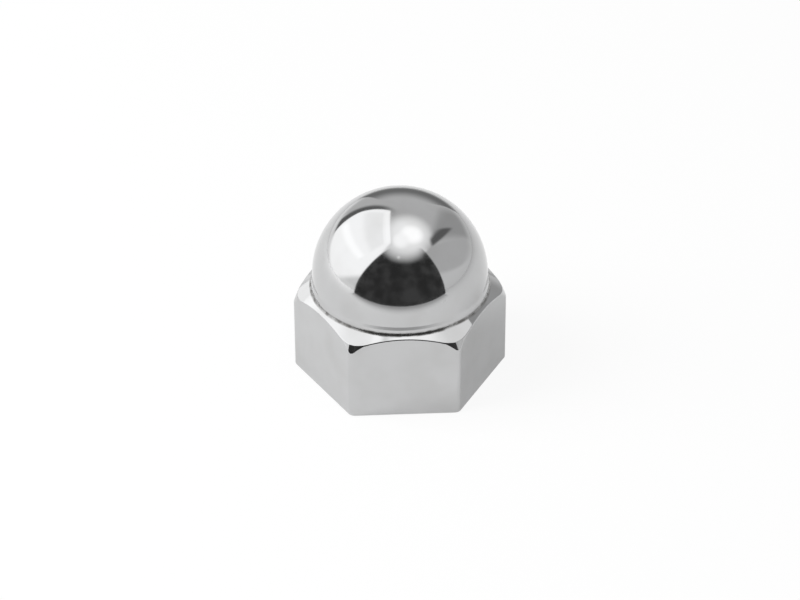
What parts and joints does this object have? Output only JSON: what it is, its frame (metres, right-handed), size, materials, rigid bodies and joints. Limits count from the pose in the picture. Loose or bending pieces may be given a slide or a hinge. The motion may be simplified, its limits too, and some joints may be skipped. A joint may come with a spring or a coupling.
{
  "type": "cap nut",
  "caption": "Chromed cap nut turned from hexagonal bar: a half-round dome on a low collar, an arched shoulder and a blind threaded hole that covers a stud's end.",
  "frame": {"origin": "centre of the bearing face, on the thread's axis", "axes": "+Z along the thread's axis, from the bearing face to the dome; two flats face along Y and two corners point along X"},
  "size_m": [0.0146, 0.0126, 0.0132],
  "materials": {
    "chrome_plate": "polished"
  },
  "bodies": {
    "root": {"cap_nut": "chrome_plate"}
  },
  "joints": []
}
